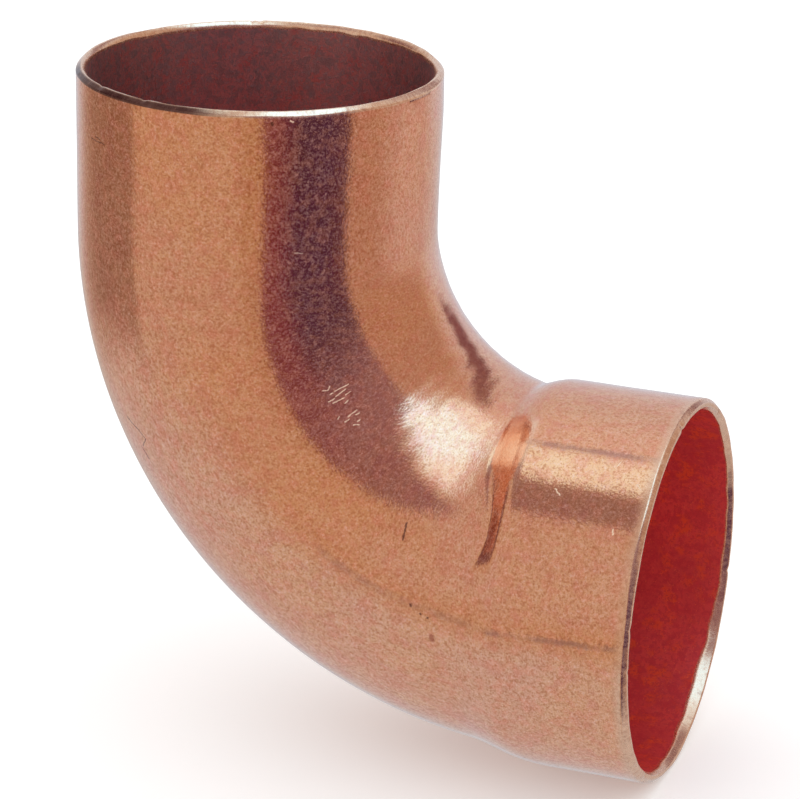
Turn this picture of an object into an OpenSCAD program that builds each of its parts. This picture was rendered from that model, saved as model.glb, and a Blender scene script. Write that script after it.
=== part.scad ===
// Street pipe elbow, 90 degrees, for soldered copper drainage tube.
// A single seamless piece: a plain fitting end (spigot), a swept bend and a
// cup (socket) with a sloped shoulder that forms the tube stop.
// Origin: centre of the tube stop at the bottom of the cup.
// +X points out of the cup mouth, +Z points out of the spigot end.
// Millimetres. Names ending in _od are outside diameters, in _r radii.

/* [Tube] */
// Outside diameter of the spigot and of the bend (1-1/2 in tube size)
tube_od = 41.275; // [40.5:0.005:41.3]
// Wall thickness of the spigot and of the bend
wall = 1.07; // [0.9:0.01:1.4]

/* [Bend] */
// Radius of the bend's centreline
bend_r = 37; // [34:0.1:37.9]

/* [Spigot] */
// Distance from the cup's axis to the end of the spigot
spigot_reach = 55.6; // [50:0.1:70]

/* [Cup] */
// Outside diameter of the cup
cup_od = 44.1; // [43.9:0.05:45]
// Bore of the cup, which takes a tube with a capillary solder gap
cup_bore = 41.4; // [41.35:0.01:41.5]
// Depth from the mouth to the tube stop
cup_depth = 15.6; // [12:0.1:18]
// Distance from the spigot's axis to the tube stop
stop_reach = 36.6; // [36.4:0.1:36.9]
// Half-angle of the sloped shoulder between the bend and the cup, in and out
shoulder_angle = 20; // [20:0.5:26]
// Distance from the tube stop back to the outer edge of the shoulder
shoulder_back = 0.2; // [0:0.05:0.3]
// Length over which the shoulder blends into the cup's cylinder, each way
shoulder_blend = 1.4; // [1:0.1:3]

/* [Rims] */
// Axial length of the outer edge break on both ends
edge_out_length = 0.5; // [0.2:0.05:0.8]
// Radial width of the outer edge break on both ends
edge_out_width = 0.35; // [0.15:0.05:0.4]
// Axial length of the inner edge break on both ends
edge_in_length = 0.6; // [0.2:0.05:0.8]
// Radial width of the inner edge break on both ends
edge_in_width = 0.25; // [0.1:0.05:0.35]

/* [Hidden] */
$fn = 96;
copper = [0.78, 0.49, 0.33];
bore_overlap = 0.3; // how far inside the bend's bore the hollow's cone starts
mouth_overcut = 1;  // how far the hollow runs on past the mouth

tube_r = tube_od / 2;
bore_r = tube_r - wall;
cup_r = cup_od / 2;
socket_r = cup_bore / 2;

// Places ending in _x lie along the cup's axis, from the spigot's axis
mouth_x = stop_reach + cup_depth;

// Knee: where the shoulder cone would meet the cup's cylinder if unblended
knee_x = stop_reach - shoulder_back;
// The blend arc is tangent to both, from the nose to the cylinder
blend_steps = 5;
blend_r = shoulder_blend / tan(shoulder_angle / 2);
blend_end_x = knee_x + shoulder_blend;
nose_x = knee_x - shoulder_blend * cos(shoulder_angle);
nose_r = cup_r - shoulder_blend * sin(shoulder_angle);
// The shoulder cone's root, buried in the middle of the bend's wall
root_r = tube_r - wall / 2;
root_x = nose_x - (nose_r - root_r) / tan(shoulder_angle);
// Small end of the hollow's cone
hollow_r = bore_r - bore_overlap;
hollow_x = stop_reach - (socket_r - hollow_r) / tan(shoulder_angle);

// Wall of the plain fitting end, with both edge breaks
module spigot_wall() {
  rotate_extrude() polygon([
    [bore_r, bend_r],
    [tube_r, bend_r],
    [tube_r, spigot_reach - edge_out_length],
    [tube_r - edge_out_width, spigot_reach],
    [bore_r + edge_in_width, spigot_reach],
    [bore_r, spigot_reach - edge_in_length]
  ]);
}

// Wall of the quarter bend, from the spigot's axis round to the cup's
module bend_wall() {
  translate([bend_r, 0, bend_r]) rotate([90, 0, 0]) rotate([0, 0, 180])
    rotate_extrude(angle = 90) translate([bend_r, 0]) difference() {
      circle(r = tube_r);
      circle(r = bore_r);
    }
}

// Turns a profile of [radius, x] points about the cup's axis
module cup_turned(profile) {
  rotate([0, 90, 0]) rotate_extrude() polygon(profile);
}

// Blank of the cup: shoulder cone, tangent blend, cylinder and outer edge break
module cup_blank() {
  blend = [
    for (i = [1 : blend_steps])
      let (slope = shoulder_angle * (1 - i / blend_steps))
      [cup_r - blend_r * (1 - cos(slope)), blend_end_x - blend_r * sin(slope)]
  ];
  cup_turned(concat(
    [[root_r, root_x], [nose_r, nose_x]],
    blend,
    [[cup_r, mouth_x - edge_out_length],
     [cup_r - edge_out_width, mouth_x],
     [root_r, mouth_x]]
  ));
}

// Hollow of the cup: sloped tube stop, socket and its lead-in at the mouth
module cup_hollow() {
  lead_in_r = socket_r + edge_in_width;
  cup_turned([
    [0, hollow_x],
    [hollow_r, hollow_x],
    [socket_r, stop_reach],
    [socket_r, mouth_x - edge_in_length],
    [lead_in_r, mouth_x],
    [lead_in_r, mouth_x + mouth_overcut],
    [0, mouth_x + mouth_overcut]
  ]);
}

module elbow_body() {
  color(copper) translate([-stop_reach, 0, 0]) difference() {
    union() {
      spigot_wall();
      bend_wall();
      cup_blank();
    }
    cup_hollow();
  }
}

elbow_body();
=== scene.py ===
"""A drawn copper 90 degree elbow with a plain spigot and a cup.

The origin is the tube stop, on the cup's axis. The spigot points up (+Z) on the axis
x = -TUBE_STOP, and the cup's mouth faces right (+X). The bend lies in the XZ plane: its heel
is low on the left, its throat high on the right. The front is -Y.
"""
import math
from functools import reduce
from types import SimpleNamespace

import bpy
import numpy as np
from mathutils import Matrix, Vector


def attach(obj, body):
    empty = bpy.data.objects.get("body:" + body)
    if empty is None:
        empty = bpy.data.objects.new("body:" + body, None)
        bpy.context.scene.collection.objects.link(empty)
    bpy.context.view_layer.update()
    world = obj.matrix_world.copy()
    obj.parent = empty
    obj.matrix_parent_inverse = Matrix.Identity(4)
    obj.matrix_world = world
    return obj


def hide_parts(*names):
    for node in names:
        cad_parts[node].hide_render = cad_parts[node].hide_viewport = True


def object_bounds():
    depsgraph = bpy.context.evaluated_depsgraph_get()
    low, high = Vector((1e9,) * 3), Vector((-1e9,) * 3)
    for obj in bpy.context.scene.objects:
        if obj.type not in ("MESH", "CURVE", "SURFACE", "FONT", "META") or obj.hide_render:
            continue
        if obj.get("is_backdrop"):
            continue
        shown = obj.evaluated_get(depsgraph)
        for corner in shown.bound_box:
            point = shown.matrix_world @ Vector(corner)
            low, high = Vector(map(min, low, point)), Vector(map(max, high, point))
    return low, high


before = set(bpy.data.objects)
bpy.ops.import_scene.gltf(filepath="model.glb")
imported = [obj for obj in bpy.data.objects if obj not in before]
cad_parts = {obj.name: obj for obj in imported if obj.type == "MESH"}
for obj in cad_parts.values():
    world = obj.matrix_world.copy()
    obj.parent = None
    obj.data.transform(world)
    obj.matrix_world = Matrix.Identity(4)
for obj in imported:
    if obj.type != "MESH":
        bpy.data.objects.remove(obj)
cad_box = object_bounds()
BOX_LOW, BOX_HIGH = (np.array(corner, float) for corner in cad_box)

# ---------------------------------------------------------------------------
# Sizes in millimetres. Places in x are from the spigot's axis, "along" is the length of
# centre line from the spigot's end, and phi goes round the tube: 0 at the heel, pi at the
# throat, negative at the front.
# ---------------------------------------------------------------------------
MM = 0.001
TUBE_RADIUS = 20.6375
WALL = 1.07
BORE_RADIUS = TUBE_RADIUS - WALL
BEND_RADIUS = 37.0
REACH = 55.6            # the spigot's end above the cup's axis
TUBE_STOP = 36.6
MOUTH = 52.2
CUP_RADIUS = 22.05
SOCKET_RADIUS = 20.70
SOCKET_STEP = SOCKET_RADIUS - BORE_RADIUS
SOCKET_SLOPE = math.tan(math.radians(20))
SHOULDER = 36.3         # where the cup's shoulder meets its full radius
SHOULDER_ANGLE = math.radians(18.5)

BEND_START = REACH - BEND_RADIUS
BEND_ARC = BEND_RADIUS * math.pi / 2
BEND_END = BEND_START + BEND_ARC
TUBE_END = BEND_END + (MOUTH - BEND_RADIUS)

LIP_LENGTH = 0.72       # outer skin left to each lip
LIP_OVERRUN = 0.10      # from a lip's last row to the first row of bore
COLUMNS = 384
COLUMN_PHI = np.linspace(0, 2 * math.pi, COLUMNS, endpoint=False)


def ease(x, start, end):
    """A smooth step of x from 0 at start to 1 at end."""
    part = np.clip((x - start) / (end - start), 0, 1)
    return part * part * (3 - 2 * part)


def hump(x, centre, width):
    return np.exp(-(((x - centre) / width) ** 2))


def smooth_max(first, second, blend):
    near = np.maximum(blend - np.abs(first - second), 0) / blend
    return np.maximum(first, second) + near * near * blend * 0.25


class Waves:
    """A smooth, seeded field of plane waves, about -1 to 1; size is the wavelength."""

    def __init__(self, seed, size, count=14):
        random = np.random.RandomState(seed)
        directions = random.normal(size=(count, 3))
        directions /= np.linalg.norm(directions, axis=1, keepdims=True)
        lengths = size * random.uniform(0.7, 1.5, count)
        self.vectors = directions * (2 * math.pi / lengths)[:, None]
        self.phases = random.uniform(0, 2 * math.pi, count)
        self.weights = random.uniform(0.5, 1.0, count)
        self.weights /= math.sqrt((self.weights ** 2).sum() / 2) * 1.6

    def __call__(self, points):
        total = np.zeros(points.shape[:-1])
        for vector, phase, weight in zip(self.vectors, self.phases, self.weights):
            total += weight * np.sin(points @ vector + phase)
        return total


LONG_WAVES = Waves(seed=3, size=26.0)
MID_WAVES = Waves(seed=5, size=11.0)
RIM_ROUGHNESS = Waves(seed=11, size=3.2, count=20)
RIM_WAVES = Waves(seed=12, size=9.0)
RIPPLES = Waves(seed=21, size=5.5, count=16)


# ---------------------------------------------------------------------------
# The elbow's form
# ---------------------------------------------------------------------------
def centre_line(along):
    """Centre and heelward normal at a length along the tube."""
    bend = np.clip((along - BEND_START) / BEND_RADIUS, 0, math.pi / 2)
    before, after = along < BEND_START, along > BEND_END
    x = np.where(after, BEND_RADIUS + (along - BEND_START - BEND_ARC),
                 BEND_RADIUS - BEND_RADIUS * np.cos(bend))
    x = np.where(before, 0, x)
    z = np.where(after, 0, BEND_RADIUS - BEND_RADIUS * np.sin(bend))
    z = np.where(before, REACH - along, z)
    normal = np.stack([-np.cos(bend), 0 * bend, -np.sin(bend)], -1)
    return np.stack([x, 0 * x, z], -1), normal


def outward(normal, phi):
    """Direction from the centre line to the skin at phi."""
    return normal * np.cos(phi)[..., None] + np.array([0.0, 1.0, 0.0]) * np.sin(phi)[..., None]


def place(along, phi, radius):
    centre, normal = centre_line(along)
    return centre + outward(normal, phi) * radius[..., None] - np.array([TUBE_STOP, 0, 0])


def unrolled(along, phi):
    """Seamless coordinates of the tube as if it were straight."""
    return np.stack([TUBE_RADIUS * np.cos(phi), TUBE_RADIUS * np.sin(phi), along + 0 * phi], -1)


def cup_profile(x, angle):
    """Outer radius of the cup's form about the cup's axis.

    angle is 0 at the top, on the throat side, and pi at the heel. The shoulder is longer and
    rounder at the heel, and short and steep on the flanks.
    """
    def sector(start, end):
        return ease(np.abs(angle), math.radians(start), math.radians(end))

    heel = sector(112, 165)
    top = sector(40, 0)
    flank = sector(36, 56) * sector(73, 59)
    knee = SHOULDER + 1.7 * heel - 0.9 * top
    blend = 0.75 + 2.6 * heel + 0.5 * top
    slope = (SHOULDER_ANGLE - math.radians(4.0) * heel + math.radians(3.0) * top
             + math.radians(19.0) * flank)
    # a straight slope, an arc tangent to it, then the full radius
    arc_radius = blend / np.tan(slope / 2)
    arc_start = knee - blend * np.cos(slope)
    line = CUP_RADIUS - (knee - x) * np.tan(slope)
    arc_height = np.sqrt(np.maximum(arc_radius ** 2 - (knee + blend - x) ** 2, 0))
    arc = CUP_RADIUS - arc_radius + arc_height
    radius = np.where(x < arc_start, line, np.where(x < knee + blend, arc, CUP_RADIUS))
    # behind the shoulder the form falls away, leaving the tube itself
    radius = radius - 3.0 * np.maximum(27.0 - x, 0)
    # the cup is a touch slimmer past its shoulder
    return radius - 0.03 * ease(x, SHOULDER + 2.0, SHOULDER + 7.0)


def form_error(along, phi):
    """What drawing and bending leave on the skin."""
    flat = unrolled(along, phi)
    throat = 0.5 - 0.5 * np.cos(phi)
    side = np.abs(np.sin(phi))
    error = 0.022 * LONG_WAVES(flat) + 0.008 * MID_WAVES(flat)
    # on the throat side a wide spigot end, a waist where the bend starts and faint ripples
    spigot_end = 0.22 * ease(along, 13, 1.0)
    waist = 0.22 * hump(along, BEND_START + 1.0, 9.0)
    error = error + throat ** 2 * (spigot_end - waist)
    ripples = 0.018 * RIPPLES(flat * np.array([1, 1, 1.6]))
    error = error + throat ** 3 * ripples * hump(along, BEND_START + 30, 20)
    # shallow hollows on both sides of the bend
    error = error - side ** 2 * 0.05 * hump(along, BEND_START + 28, 18)
    # both ends stay close to their gauged sizes
    near_spigot = 0.55 + 0.45 * ease(along, 0, 6)
    near_mouth = 1 - 0.55 * ease(along, TUBE_END - 12, TUBE_END - 3)
    return error * near_spigot * near_mouth


def outer_radius(along, phi):
    centre, normal = centre_line(along)
    direction = outward(normal, phi)
    # step towards where each ray from the centre line meets the cup's form
    form = np.full(along.shape, TUBE_RADIUS)
    for _ in range(40):
        point = centre + direction * form[..., None]
        angle = np.arctan2(point[..., 1], point[..., 2])
        miss = cup_profile(point[..., 0], angle) - np.hypot(point[..., 1], point[..., 2])
        form = form + 0.6 * miss
    form = np.where(along > BEND_START + BEND_ARC * 0.62,
                    np.clip(np.nan_to_num(form), 0, CUP_RADIUS), 0)
    error = form_error(along, phi)
    cup = ease(along, TUBE_END - 17, TUBE_END - 11)
    return smooth_max(TUBE_RADIUS + error * (1 - cup),
                      form + np.minimum(error, 0.0) * 0.5 * cup, blend=0.30)


def inner_radius(along, phi):
    """The bore, opening by a short cone into the socket at the tube stop."""
    x = BEND_RADIUS + (along - BEND_START - BEND_ARC)
    cone_start = TUBE_STOP - SOCKET_STEP / SOCKET_SLOPE
    base = BORE_RADIUS + np.clip((x - cone_start) * SOCKET_SLOPE, 0, SOCKET_STEP)
    error = form_error(along, phi) * (1 - ease(along, BEND_END - 5, BEND_END - 1))
    ripples = 0.016 * RIPPLES(unrolled(along, phi) * 0.9) * ease(along, 6, 14)
    return base + (error + ripples)


# ---------------------------------------------------------------------------
# The lips
# ---------------------------------------------------------------------------
# nicks in the rims: phi, half-width in radians, depth
TOP_NICKS = [(1.17, 0.011, 0.20), (1.13, 0.007, 0.12), (-0.93, 0.02, 0.10),
             (-1.30, 0.016, 0.13), (2.9, 0.010, 0.06)]
CUP_NICKS = [(-2.965, 0.014, 0.18), (2.553, 0.009, 0.12), (1.311, 0.014, 0.14),
             (-1.75, 0.02, 0.10), (-1.52, 0.016, 0.09), (-0.60, 0.012, 0.07)]


def phi_hump(phi, width):
    away = (COLUMN_PHI - phi + math.pi) % (2 * math.pi) - math.pi
    return hump(away, 0, width)


def nick_depth(nicks):
    total = np.zeros(COLUMNS)
    for phi, width, depth in nicks:
        total = np.maximum(total, depth * phi_hump(phi, width))
    return total


def rounded(start, control, end, steps):
    """Points of a rounded corner from start to end about the control point."""
    points = []
    for i in range(steps + 1):
        part = i / steps
        points.append(tuple(
            (1 - part) ** 2 * start[axis] + 2 * part * (1 - part) * control[axis]
            + part * part * end[axis] for axis in (0, 1)))
    return points


def lip_rows(at_mouth, outer, inner, outer_cut, inner_cut, nicks, wave_place, bow=1.0):
    """Rows round one end, from the outer radius to the inner.

    Each cut is the length and width of a broken edge; a narrow land is left between them.
    bow above 1 rounds the inside edge instead of leaving it straight. wave_place is where
    the rim's unevenness is read from its wave fields.
    """
    flat = unrolled(np.full(COLUMNS, wave_place), COLUMN_PHI)
    rough = RIM_ROUGHNESS(flat)
    wide = RIM_WAVES(flat)
    out_width = outer_cut[1] * (1 + 0.16 * wide + 0.06 * rough)
    in_width = inner_cut[1] * (1 - 0.14 * wide + 0.05 * rough)
    out_length = outer_cut[0] * (1 + 0.12 * wide)
    in_length = inner_cut[0] * (1 + 0.1 * rough)
    dent = nick_depth(nicks) + 0.012 * (1 + rough)

    def outside(length, width):
        return out_length * length, outer - width * out_width

    def inside(length, width):
        return in_length * length, inner + width ** bow * in_width

    points = rounded((out_length * 1.25, outer), (out_length * 0.98, outer - 0.01),
                     outside(0.80, 0.20), 3)
    points += [outside(0.55, 0.45), outside(0.30, 0.71)]
    points += rounded(outside(0.10, 0.91), (0.0, outer - out_width),
                      (0.0, outer - out_width - 0.06), 2)
    points += rounded((0.0, inner + in_width + 0.05), (0.0, inner + in_width),
                      inside(0.10, 0.91), 2)
    points += [inside(0.35, 0.66), inside(0.62, 0.36)]
    points += rounded(inside(0.85, 0.13), (in_length * 1.0, inner), (in_length * 1.2, inner), 3)
    rows = []
    for i, (depth, radius) in enumerate(points):
        depth = depth + 0 * COLUMN_PHI
        depth = depth + dent * np.exp(-((depth / 0.3) ** 2))
        along = TUBE_END - depth if at_mouth else depth
        rows.append((along, radius + 0 * COLUMN_PHI, 0.3 + 0.2 * i / len(points), 1))
    return rows


# ---------------------------------------------------------------------------
# The skin: one closed grid. Rows go down the outside, round the cup's lip, back up the
# inside and round the spigot's lip.
# ---------------------------------------------------------------------------
def spaced(*runs):
    """Lengths along the tube in runs of (start, end, spacing)."""
    return [along for start, end, spacing in runs
            for along in np.linspace(start, end,
                                     max(2, int(round(abs(end - start) / spacing)) + 1))[:-1]]


OUTER_ROWS = spaced((LIP_LENGTH, 3.0, 0.4), (3.0, BEND_START, 1.0),
                    (BEND_START, BEND_END - 12.0, 0.85),
                    (BEND_END - 12.0, BEND_END + 2.6, 0.24),
                    (BEND_END + 2.6, TUBE_END - LIP_LENGTH, 1.0))
INNER_ROWS = spaced((TUBE_END - 1.9, BEND_END + 0.6, 1.1), (BEND_END + 0.6, BEND_END - 4.6, 0.4),
                    (BEND_END - 4.6, BEND_START, 1.6), (BEND_START, 1.4, 1.3))


def ring(radius_of, along):
    along = np.full(COLUMNS, along)
    return along, radius_of(along, COLUMN_PHI)


def skin_rows():
    """Rows as (along, radius, inside, lip); inside is 0 outside, 1 in the bore, and 0.3
    rising towards 0.5 across a lip."""
    # the cup's inner edge is cut back further low down at the back
    dressed = phi_hump(0.55, 0.62)
    cup_lip = lip_rows(
        at_mouth=True, outer=ring(outer_radius, TUBE_END - LIP_LENGTH)[1],
        inner=ring(inner_radius, TUBE_END - 1.0)[1], outer_cut=(0.50, 0.46),
        inner_cut=(0.55 + 0.65 * dressed, 0.38 + 0.08 * dressed),
        nicks=CUP_NICKS, wave_place=14.0)
    top_lip = lip_rows(
        at_mouth=False, outer=ring(outer_radius, LIP_LENGTH)[1],
        inner=ring(inner_radius, 0.9)[1], outer_cut=(0.52, 0.52),
        inner_cut=(0.66, 0.40), nicks=TOP_NICKS, wave_place=35.0, bow=1.8)
    rows = [(*ring(outer_radius, along), 0, 0) for along in OUTER_ROWS]
    rows += cup_lip
    rows.append((cup_lip[-1][0] - LIP_OVERRUN, cup_lip[-1][1], 1, 0))
    rows += [(*ring(inner_radius, along), 1, 0) for along in INNER_ROWS]
    rows.append((top_lip[-1][0] + LIP_OVERRUN, top_lip[-1][1], 1, 0))
    return rows + top_lip[::-1]


def add_object(name, mesh):
    thing = bpy.data.objects.new(name, mesh)
    bpy.context.scene.collection.objects.link(thing)
    return thing


def build_elbow():
    rows = skin_rows()
    along = np.array([row[0] for row in rows])
    phi = np.broadcast_to(COLUMN_PHI, along.shape)
    points = np.array([place(row[0], COLUMN_PHI, row[1]) for row in rows]) * MM
    # clip every point into the CAD's box
    points = np.clip(points, BOX_LOW + 2e-6, BOX_HIGH - 2e-6).reshape(-1, 3)

    index = np.arange(along.size).reshape(along.shape)
    down = np.roll(index, -1, 0)
    quads = np.stack([index, down, np.roll(down, -1, 1), np.roll(index, -1, 1)], -1)
    quads = quads.reshape(-1, 4)
    mesh = bpy.data.meshes.new("elbow_skin")
    mesh.from_pydata(points.tolist(), [], quads.tolist())
    mesh.update()

    def put(name, values, kind="FLOAT", key="value"):
        data = mesh.attributes.new(name, kind, "POINT").data
        data.foreach_set(key, np.ascontiguousarray(values, np.float32).ravel())

    put("tube", unrolled(along, phi), "FLOAT_VECTOR", "vector")
    put("inside", np.repeat([row[2] for row in rows], COLUMNS))
    put("lip", np.repeat([row[3] for row in rows], COLUMNS))
    put("side", np.stack([np.cos(phi), np.sin(phi), along], -1), "FLOAT_VECTOR", "vector")
    mesh.polygons.foreach_set("use_smooth", [True] * len(mesh.polygons))
    elbow = add_object("elbow", mesh)

    # faces look outward when the closed skin's signed volume is positive
    first, second, third, fourth = (points[quads[:, i]] for i in range(4))
    volume = (first * np.cross(second, third) + first * np.cross(third, fourth)).sum()
    if volume < 0:
        mesh.flip_normals()
    return elbow


# ---------------------------------------------------------------------------
# Node trees
# ---------------------------------------------------------------------------
class Graph:
    """Short calls for building the node tree of a material or world."""

    def __init__(self, owner):
        owner.use_nodes = True
        self.tree = owner.node_tree
        self.tree.nodes.clear()

    def node(self, kind, **properties):
        node = self.tree.nodes.new(kind)
        for name, value in properties.items():
            setattr(node, name, value)
        return node

    def plug(self, socket, value):
        """Link an output to the socket, or set the socket's value."""
        if hasattr(value, "is_output"):
            self.tree.links.new(value, socket)
        else:
            socket.default_value = value

    def math(self, operation, *values, clamp=False):
        node = self.node("ShaderNodeMath", operation=operation, use_clamp=clamp)
        for socket, value in zip(node.inputs, values):
            self.plug(socket, value)
        return node.outputs[0]

    def add(self, *terms):
        return reduce(lambda total, term: self.math("ADD", total, term), terms)

    def product(self, *terms):
        return reduce(lambda total, term: self.math("MULTIPLY", total, term), terms)

    def vector(self, operation, *values, scale=None):
        node = self.node("ShaderNodeVectorMath", operation=operation)
        for socket, value in zip(node.inputs, values):
            self.plug(socket, value)
        if scale is not None:
            self.plug(node.inputs["Scale"], scale)
        return node.outputs["Value" if operation in ("DOT_PRODUCT", "LENGTH") else "Vector"]

    def split(self, vector):
        node = self.node("ShaderNodeSeparateXYZ")
        self.plug(node.inputs[0], vector)
        return node.outputs

    def combine(self, x, y):
        node = self.node("ShaderNodeCombineXYZ")
        self.plug(node.inputs[0], x)
        self.plug(node.inputs[1], y)
        return node.outputs[0]

    def step(self, source, span, low=0.0, high=1.0):
        """A smooth step from low to high as source goes from span[0] to span[1]."""
        node = self.node("ShaderNodeMapRange", interpolation_type="SMOOTHSTEP")
        self.plug(node.inputs["Value"], source)
        for name, value in zip(("From Min", "From Max", "To Min", "To Max"), (*span, low, high)):
            self.plug(node.inputs[name], value)
        return node.outputs["Result"]

    def noise(self, vector, scale, detail=2.0, rough=0.5, stretch=(1, 1, 1), offset=(0, 0, 0)):
        if stretch != (1, 1, 1) or offset != (0, 0, 0):
            mapping = self.node("ShaderNodeMapping")
            self.plug(mapping.inputs["Vector"], vector)
            mapping.inputs["Scale"].default_value = stretch
            mapping.inputs["Location"].default_value = offset
            vector = mapping.outputs["Vector"]
        node = self.node("ShaderNodeTexNoise")
        self.plug(node.inputs["Vector"], vector)
        node.inputs["Scale"].default_value = scale
        node.inputs["Detail"].default_value = detail
        node.inputs["Roughness"].default_value = rough
        return node.outputs["Fac"]

    def mix(self, factor, *colours):
        """From the first colour to the second by factor."""
        node = self.node("ShaderNodeMix", data_type="RGBA")
        node.clamp_factor = True
        self.plug(node.inputs["Factor"], factor)
        sockets = [socket for socket in node.inputs if socket.type == "RGBA"]
        for socket, colour in zip(sockets, colours):
            self.plug(socket, colour if hasattr(colour, "is_output") else (*colour, 1.0))
        return [socket for socket in node.outputs if socket.type == "RGBA"][0]

    def layers(self, colour, rows):
        """Lay colours over one another; rows of source, step start, step end, strength,
        colour."""
        for source, start, end, strength, over in rows:
            colour = self.mix(self.step(source, (start, end), high=strength), colour, over)
        return colour

    def tints(self, colour, rows):
        """Lay colours over one another; rows of mask, strength, colour."""
        for mask, strength, over in rows:
            colour = self.mix(self.product(mask, strength), colour, over)
        return colour

    def attribute(self, name, output="Fac"):
        return self.node("ShaderNodeAttribute", attribute_name=name).outputs[output]

    def shader_mix(self, factor, first, second):
        node = self.node("ShaderNodeMixShader")
        for socket, value in zip(node.inputs, (factor, first, second)):
            self.plug(socket, value)
        return node.outputs[0]


# ---------------------------------------------------------------------------
# Copper. Places on the outside are along, as above, and around, which is phi times the
# tube's radius: 0 at the heel, about +-65 at the throat, negative at the front.
# ---------------------------------------------------------------------------
# short marks: along and around of one end, along and around of the other, half-width
DARK_MARKS = [
    (61.38, -41.36, 62.08, -39.59, 0.13), (6.26, -17.6, 6.29, -20.66, 0.05),
    (5.85, -18.7, 5.9, -19.7, 0.06), (33.58, -17.48, 34.7, -19.14, 0.07),
    (34.7, -19.14, 35.66, -20.05, 0.05), (35.66, -20.05, 36.22, -18.4, 0.05),
    (36.3, -18.0, 37.4, -18.35, 0.08), (69.45, -30.6, 69.6, -30.2, 0.30),
    (1.15, -41.9, 1.35, -41.95, 0.16), (66.26, -33.27, 66.34, -33.2, 0.16),
    (67.65, -32.75, 67.72, -32.7, 0.13), (68.55, -32.62, 68.6, -32.6, 0.12),
    (52.0, 12.0, 55.5, 13.4, 0.05), (30.0, 41.0, 33.5, 42.2, 0.05),
    (88.0, 30.0, 90.5, 31.5, 0.06)]
LIGHT_MARKS = [
    (38.87, -47.52, 38.79, -45.77, 0.075), (39.39, -46.99, 39.62, -45.65, 0.08),
    (40.16, -47.35, 40.23, -46.67, 0.07), (40.54, -46.34, 40.34, -44.97, 0.08),
    (41.3, -46.6, 41.41, -46.14, 0.09), (39.82, -45.38, 39.8, -44.61, 0.07),
    (37.63, -45.57, 38.11, -45.19, 0.07), (38.11, -45.19, 37.8, -44.67, 0.06),
    (38.86, -45.5, 38.89, -45.22, 0.08), (43.47, -46.79, 43.5, -45.57, 0.08),
    (44.07, -46.83, 44.06, -46.46, 0.09), (44.02, -45.53, 43.96, -44.99, 0.085),
    (45.09, -46.43, 45.01, -46.15, 0.08), (45.68, -46.04, 45.13, -45.56, 0.07),
    (42.76, -44.74, 42.9, -44.52, 0.07), (88.4, -46.1, 88.5, -45.6, 0.09),
    (86.9, -53.2, 87.2, -53.8, 0.06), (89.7, -51.4, 90.2, -50.9, 0.06),
    (81.0, -49.5, 81.6, -48.9, 0.08), (15.8, -44.5, 16.0, -45.4, 0.03),
    (0.95, -43.9, 1.1, -44.2, 0.08), (45.0, 10.0, 47.6, 12.5, 0.05)]


def marks(graph, skin, rows):
    """Mask of short strokes, their edges made ragged by the grain."""
    spot = graph.vector("ADD", graph.combine(skin.along, skin.around), graph.combine(
        graph.math("MULTIPLY_ADD", skin.grain, 0.36, -0.18),
        graph.math("MULTIPLY_ADD", skin.fine, 0.30, -0.15))) if skin.spot is None else skin.spot
    skin.spot = spot
    total = None
    for along0, around0, along1, around1, width in rows:
        stroke = (along1 - along0, around1 - around0, 0.0)
        square = stroke[0] ** 2 + stroke[1] ** 2
        offset = graph.vector("SUBTRACT", spot, (along0, around0, 0.0))
        part = graph.math("MULTIPLY", graph.vector("DOT_PRODUCT", offset, stroke), 1.0 / square,
                          clamp=True)
        nearest = graph.vector("SCALE", stroke, scale=part)
        distance = graph.vector("LENGTH", graph.vector("SUBTRACT", offset, nearest))
        mark = graph.step(distance, span=(1.5 * width, 0.5 * width))
        total = mark if total is None else graph.math("MAXIMUM", total, mark)
    return graph.product(total, skin.outer)


def soft_line(graph, skin, around, slope, start, end, width):
    """Mask of a soft, broken line from start to end along the tube; around is its place
    at start."""
    line = graph.math("MULTIPLY_ADD", skin.along, slope, around - slope * start)
    offset = graph.math("SUBTRACT", skin.around, line)
    ragged = graph.math("MULTIPLY_ADD", skin.grain, 0.9, -0.45)
    offset = graph.math("ABSOLUTE", graph.add(offset, ragged))
    return graph.product(
        graph.step(offset, span=(width * 1.6, width * 0.2)),
        graph.step(skin.patch, span=(0.34, 0.60), low=0.25),
        graph.step(skin.along, span=(start - 1.2, start + 1.5)),
        graph.step(skin.along, span=(end + 1.2, end - 1.2)), skin.outer)


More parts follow.
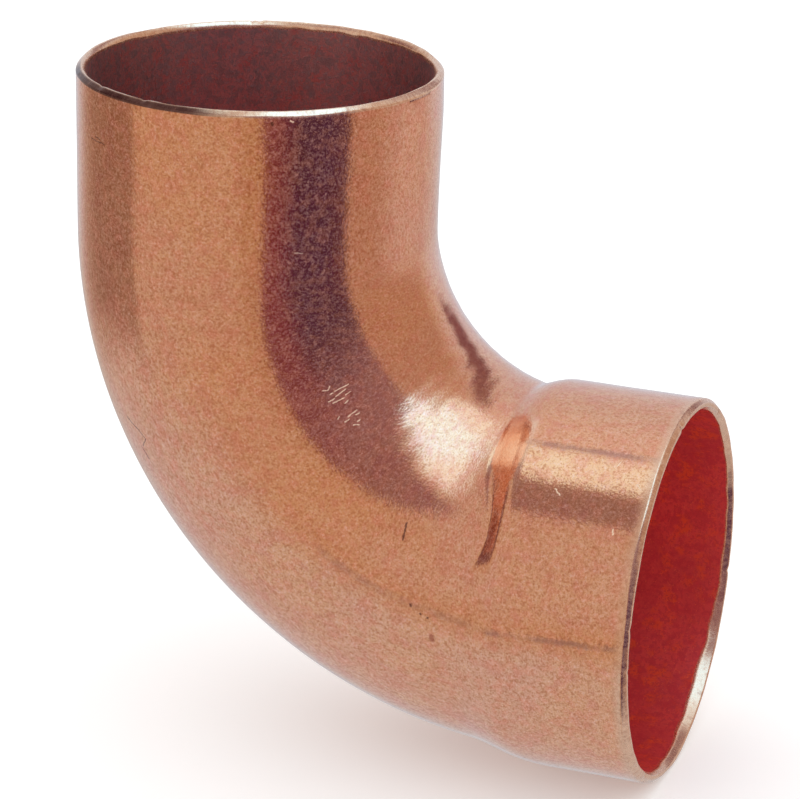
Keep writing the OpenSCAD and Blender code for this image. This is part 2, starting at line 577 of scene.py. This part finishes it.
def skin_sources(graph):
    """Places, noises and masks that the copper's colour and surface share."""
    tube = graph.attribute("tube", "Vector")
    inner = graph.step(graph.attribute("inside"), span=(0.55, 0.95))
    cosine, sine, along = graph.split(graph.attribute("side", "Vector"))
    skin = SimpleNamespace(
        lip=graph.attribute("lip"), inner=inner, outer=graph.math("SUBTRACT", 1.0, inner),
        along=along, around=graph.product(graph.math("ARCTAN2", sine, cosine), TUBE_RADIUS),
        deep=graph.step(along, span=(20.0, 62.0)), spot=None,
        # pits, orange peel and soft clouds, then streaks along and round the tube
        grain=graph.noise(tube, scale=2.6, rough=0.6),
        fine=graph.noise(tube, scale=4.6, rough=0.6, offset=(2, 5, 1)),
        peel=graph.noise(tube, scale=0.95, offset=(7, 3, 1)),
        patch=graph.noise(tube, scale=0.42, detail=3.0, rough=0.6, offset=(5, 1, 6)),
        cloud=graph.noise(tube, scale=0.16, detail=3.0, rough=0.55, offset=(3, 9, 4)),
        broad=graph.noise(tube, scale=0.055, offset=(13, 2, 8)),
        streaks=graph.noise(tube, scale=1.0, rough=0.6, stretch=(3.4, 3.4, 0.30)),
        hoops=graph.noise(tube, scale=1.0, detail=3.0, rough=0.6, stretch=(0.22, 0.22, 4.0)))
    skin.dark = marks(graph, skin, DARK_MARKS)
    skin.light = marks(graph, skin, LIGHT_MARKS)
    skin.lines = graph.math(
        "MAXIMUM",
        soft_line(graph, skin, around=-33.5, slope=-0.03, start=75.0, end=93.0, width=0.34),
        soft_line(graph, skin, around=-54.7, slope=0.0, start=75.4, end=93.5, width=0.40))
    # a thin broken film of oxide between clean metal
    skin.film = graph.add(graph.step(skin.grain, span=(0.52, 0.40), high=0.085),
                          graph.step(skin.peel, span=(0.46, 0.63), high=0.085),
                          graph.step(skin.fine, span=(0.49, 0.34), high=0.115))
    return skin


def body_colour(graph, skin):
    """The outside: pink to orange copper, mottled, under film, with a painted reflection, a
    faint line of painted shade and marks.
    """
    colour = graph.layers((0.865, 0.43, 0.275), [
        (skin.broad, 0.38, 0.62, 1.0, (0.885, 0.42, 0.225)),
        (skin.cloud, 0.46, 0.76, 0.35, (0.80, 0.35, 0.20)),
        (skin.patch, 0.50, 0.66, 0.62, (0.83, 0.32, 0.22)),
        (skin.patch, 0.48, 0.32, 0.62, (0.92, 0.49, 0.28)),
        (skin.peel, 0.48, 0.66, 0.42, (0.76, 0.28, 0.17)),
        (skin.peel, 0.48, 0.28, 0.30, (0.95, 0.52, 0.33)),
        (skin.grain, 0.51, 0.66, 0.62, (0.68, 0.25, 0.12)),
        (skin.grain, 0.46, 0.26, 0.60, (0.97, 0.60, 0.46)),
        (skin.fine, 0.53, 0.68, 0.62, (0.62, 0.20, 0.09)),
        (skin.fine, 0.45, 0.26, 0.50, (0.97, 0.62, 0.50))])
    # painted reflection: a bright orange patch on the throat's front by the cup's shoulder,
    # standing in for bright light mirrored in the valley
    from_painted_reflection = graph.math("ABSOLUTE", graph.add(skin.around, 54.3))
    painted_reflection = graph.product(graph.step(from_painted_reflection, span=(4.6, 2.6)),
                        graph.product(graph.step(skin.along, span=(68.0, 70.0)),
                                      graph.step(skin.along, span=(77.0, 75.4))))
    # painted shade: a faint dark line down the front of the bend, where the reflection turns
    # from tan above to pink below
    painted_shade_line = soft_line(graph, skin, around=-32.9, slope=-0.035, start=54.0, end=76.0, width=0.50)
    # dark marks are redder towards the mouth
    dark = graph.mix(graph.step(skin.along, span=(68.6, 69.0)),
                     (0.16, 0.05, 0.035), (0.50, 0.15, 0.09))
    return graph.tints(colour, [
        (skin.film, 1.3, (0.88, 0.31, 0.20)), (painted_reflection, 0.9, (0.985, 0.62, 0.42)),
        (skin.lines, 0.55, (0.38, 0.18, 0.15)), (painted_shade_line, 0.36, (0.45, 0.24, 0.20)),
        (skin.dark, 0.8, dark), (skin.light, 0.9, (0.97, 0.70, 0.50))])


def bore_colour(graph, skin):
    """Oxide: dull maroon up in the spigot, redder and livelier in the cup."""
    def towards_cup(spigot, cup):
        return graph.mix(skin.deep, spigot, cup)

    return graph.layers(towards_cup((0.88, 0.52, 0.51), (0.87, 0.115, 0.110)), [
        (skin.cloud, 0.40, 0.66, 0.6, towards_cup((0.78, 0.40, 0.38), (0.68, 0.075, 0.090))),
        (skin.patch, 0.48, 0.66, 0.8, towards_cup((0.96, 0.36, 0.34), (0.97, 0.14, 0.05))),
        (skin.peel, 0.48, 0.62, 0.7, towards_cup((0.52, 0.44, 0.45), (0.70, 0.065, 0.085))),
        (skin.grain, 0.49, 0.62, 0.7, towards_cup((0.48, 0.38, 0.40), (0.68, 0.065, 0.08))),
        (skin.fine, 0.62, 0.70, 0.8, towards_cup((1.0, 0.44, 0.30), (0.95, 0.20, 0.12)))])


def lip_colour(graph, skin):
    """Bare cut metal; the spigot's outer edge is darker along the front left."""
    bare = graph.mix(skin.deep, (0.96, 0.62, 0.43), (0.86, 0.50, 0.33))
    bare = graph.layers(bare, [(skin.grain, 0.42, 0.66, 0.6, (0.80, 0.40, 0.25))])
    # darker along the front left of the spigot's outer edge
    front_left_dark = graph.product(graph.step(skin.around, span=(-39, -32)),
                          graph.step(skin.around, span=(-5, -11)),
                          graph.step(graph.attribute("inside"), span=(0.41, 0.35)),
                          graph.step(skin.along, span=(30.0, 10.0)))
    bare = graph.tints(bare, [(front_left_dark, 0.95, (0.11, 0.040, 0.035))])
    return graph.layers(bare, [(skin.peel, 0.62, 0.72, 0.35, (0.45, 0.19, 0.13))])


def copper():
    material = bpy.data.materials.new("drawn_copper")
    graph = Graph(material)
    output = graph.node("ShaderNodeOutputMaterial")
    surface = graph.node("ShaderNodeBsdfPrincipled")
    graph.plug(output.inputs["Surface"], surface.outputs[0])
    skin = skin_sources(graph)

    colour = graph.mix(skin.inner, body_colour(graph, skin), bore_colour(graph, skin))
    colour = graph.mix(skin.lip, colour, lip_colour(graph, skin))
    graph.plug(surface.inputs["Base Color"], colour)

    # film, light marks and the cup's oxide are less metallic
    dull = graph.add(graph.product(graph.add(skin.film, graph.product(skin.light, 0.5)),
                                   skin.outer),
                     graph.product(skin.inner, skin.deep, 0.36))
    graph.plug(surface.inputs["Metallic"], graph.math("SUBTRACT", 1.0, dull))

    base_roughness = 0.085
    graph.plug(surface.inputs["Roughness"], graph.add(
        graph.step(skin.grain, span=(0.54, 0.68), high=0.10),
        graph.step(skin.fine, span=(0.56, 0.70), high=0.08), base_roughness,
        graph.step(skin.cloud, span=(0.3, 0.7), low=-0.01, high=0.03),
        graph.product(skin.inner, 0.22), graph.product(skin.lip, 0.14),
        graph.product(skin.light, 0.22),
        graph.product(graph.math("MAXIMUM", skin.dark, skin.lines), 0.20)))

    # relief of each noise, in millimetres
    relief = [(skin.grain, 0.0105), (skin.fine, 0.0060), (skin.peel, 0.0065),
              (skin.streaks, 0.0007), (skin.hoops, 0.0012)]
    bump = graph.node("ShaderNodeBump")
    bump.inputs["Strength"].default_value = 1.0
    bump.inputs["Distance"].default_value = MM
    graph.plug(bump.inputs["Height"], graph.add(*[graph.product(*row) for row in relief]))
    graph.plug(surface.inputs["Normal"], bump.outputs["Normal"])
    return material


# ---------------------------------------------------------------------------
# Studio: a pale floor, a soft tent seen only in reflections, an even dome
# ---------------------------------------------------------------------------
def build_floor():
    """A large square just under the elbow, clear from below and unseen in reflections."""
    half = 3.0
    z = float(BOX_LOW[2]) - 0.00005
    mesh = bpy.data.meshes.new("floor")
    mesh.from_pydata([(-half, -half, z), (half, -half, z), (half, half, z), (-half, half, z)],
                     [], [(0, 1, 2, 3)])
    floor = add_object("floor", mesh)
    material = bpy.data.materials.new("pale_floor")
    graph = Graph(material)
    output = graph.node("ShaderNodeOutputMaterial")
    diffuse = graph.node("ShaderNodeBsdfDiffuse")
    diffuse.inputs["Color"].default_value = (0.93, 0.93, 0.93, 1)
    glow = graph.node("ShaderNodeEmission")
    glow.inputs["Strength"].default_value = 0.22
    lit = graph.node("ShaderNodeAddShader")
    graph.plug(lit.inputs[0], diffuse.outputs[0])
    graph.plug(lit.inputs[1], glow.outputs[0])
    clear = graph.node("ShaderNodeBsdfTransparent")
    geometry = graph.node("ShaderNodeNewGeometry")
    graph.plug(output.inputs["Surface"], graph.shader_mix(
        geometry.outputs["Backfacing"], lit.outputs[0], clear.outputs[0]))
    mesh.materials.append(material)
    floor.visible_glossy = False
    floor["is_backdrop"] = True


def tent_colour(graph):
    """The tent by direction, in degrees: azimuth is 0 at the front and positive to the
    right, elevation is positive upwards."""
    step, both, mix = graph.step, graph.product, graph.mix
    x, y, z = graph.split(graph.node("ShaderNodeTexCoord").outputs["Generated"])
    azimuth = both(graph.math("ARCTAN2", x, both(y, -1.0)), 180 / math.pi)
    elevation = both(graph.math("ARCSINE", z), 180 / math.pi)

    def turn(*span):
        return step(azimuth, span)

    def rise(*span):
        return step(elevation, span)

    def box(left, right, bottom, top, side_blur, end_blur):
        """1 inside the azimuth and elevation range, with soft edges."""
        return both(turn(left - side_blur, left + side_blur),
                    turn(right + side_blur, right - side_blur),
                    rise(bottom - end_blur, bottom + end_blur),
                    rise(top + end_blur, top - end_blur))

    behind = graph.add(turn(135, 160), turn(-105, -130))
    card = both(both(turn(-140, -98), turn(-60.5, -65.5)), both(rise(-29, -21), rise(-5, -10)))
    top_left = both(rise(67.8, 71), both(turn(-128, -108), turn(-38, -47)))

    # bright panel overhead on the front right, its lower edge varying with azimuth
    edge = graph.add(step(azimuth, (84, 102), low=50.5, high=54.5),
                     both(box(58, 84, -90, 90, 7, 1), -6.5))
    panel = both(step(x, (0.03, 0.085)), step(y, (0.40, 0.345)),
                 step(graph.math("SUBTRACT", elevation, edge), (-3.5, 5)), step(z, (0.0, 0.1)))
    panel_tone = mix(both(turn(22, 46), turn(128, 96)), (1.04, 1.58, 1.95), (1.10, 2.1, 3.0))
    panel_tone = mix(rise(76, 86), panel_tone, (1.05, 1.66, 2.1))

    # dark gap on the front right, redder along its left edge and paler higher up
    gap_left = graph.add(18.3, both(elevation, -0.42))
    gap = both(step(graph.math("SUBTRACT", azimuth, gap_left), (-2.0, 1.5)),
               turn(81.6, 78.2), rise(48, 44), rise(-60, -40))
    gap_tone = mix(turn(30, 50), (0.215, 0.080, 0.135), (0.090, 0.050, 0.140))
    gap_tone = mix(both(turn(66, 74), rise(-6, -14)), gap_tone, (0.11, 0.055, 0.125))
    gap_tone = mix(rise(-2, 30), gap_tone, (0.29, 0.205, 0.27))

    # dark streak behind on the right, leaning further right as it rises
    height = graph.math("MAXIMUM", graph.math("SUBTRACT", elevation, 30.0), 0.0)
    streak_left = graph.math("SUBTRACT", 156.0, both(height, 0.42))
    lean = graph.math("SUBTRACT", azimuth, streak_left)
    streak = both(both(step(lean, (-1.2, 0.8)), step(lean, (16, 11))),
                  both(rise(-4, 4), rise(62, 54)))

    colour = (0.57, 0.50, 0.41)
    for mask, over in [
            (rise(-14, -36), (0.61, 0.68, 0.74)),                           # low down
            (rise(18, 46), (0.60, 0.58, 0.56)),                             # high up
            (box(-60, -8, -8, 40, 8, 8), (0.60, 0.59, 0.58)),               # front left
            (box(10, 40, -70, 24, 6, 8), (0.50, 0.40, 0.29)),               # brown, front
            (both(behind, rise(-24, -12)), (0.68, 0.77, 0.88)),             # pale, behind
            (both(behind, rise(38, 66)), (0.78, 0.87, 0.98)),               # paler above it
            (box(80, 140, -40, 44, 5, 8), (0.48, 0.375, 0.31)),             # warm, right
            (box(112, 150, -40, -8, 14, 8), (0.62, 0.60, 0.62)),            # low back right
            (card, (0.33, 0.26, 0.23)),                                     # brown, left
            (box(-108, -73, 9.0, 42, 4, 6), (0.19, 0.10, 0.125)),           # dark above it
            (box(-84, -16, 51.5, 69.0, 4, 1.5), (0.33, 0.27, 0.31)),        # high front left
            (top_left, (0.98, 1.37, 1.54)),
            (panel, panel_tone), (gap, gap_tone), (streak, (0.20, 0.10, 0.14))]:
        colour = mix(mask, colour, over)
    return colour


def build_studio():
    world = bpy.data.worlds.new("studio")
    bpy.context.scene.world = world
    graph = Graph(world)
    output = graph.node("ShaderNodeOutputWorld")
    tent = graph.node("ShaderNodeBackground")
    graph.plug(tent.inputs["Color"], tent_colour(graph))
    dome = graph.node("ShaderNodeBackground")
    dome.inputs["Color"].default_value = (1, 1, 1, 1)
    dome.inputs["Strength"].default_value = 1.06
    path = graph.node("ShaderNodeLightPath")
    graph.plug(output.inputs["Surface"], graph.shader_mix(
        path.outputs["Is Glossy Ray"], dome.outputs[0], tent.outputs[0]))


def build_camera():
    """The camera looks at its target from the front, a little right and above."""
    azimuth, elevation, roll = (math.radians(angle) for angle in (20.111, 20.228, 1.264))
    distance = 384.315 * MM
    target = Vector((-18.961, 0, 17.987)) * MM
    back = Vector((math.sin(azimuth) * math.cos(elevation),
                   -math.cos(azimuth) * math.cos(elevation), math.sin(elevation)))
    level = Vector((math.cos(azimuth), math.sin(azimuth), 0))
    upright = back.cross(level)
    right = level * math.cos(roll) + upright * math.sin(roll)
    above = -level * math.sin(roll) + upright * math.cos(roll)
    lens = bpy.data.cameras.new("camera")
    lens.sensor_width = 36.0
    lens.lens = 151.0
    lens.clip_start = 0.01
    camera = add_object("camera", lens)
    turned = Matrix((right, above, back)).transposed()
    camera.matrix_world = Matrix.Translation(target + back * distance) @ turned.to_4x4()
    bpy.context.scene.camera = camera


elbow = build_elbow()
elbow.data.materials.append(copper())
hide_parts("elbow_body")
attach(elbow, "root")

build_floor()
build_studio()
bpy.context.scene.view_settings.view_transform = "Standard"
bpy.context.scene.view_settings.look = "None"
build_camera()

sizes = {"cad": cad_box, "visual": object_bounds()}
{name: [list(map(float, end)) for end in box] for name, box in sizes.items()}
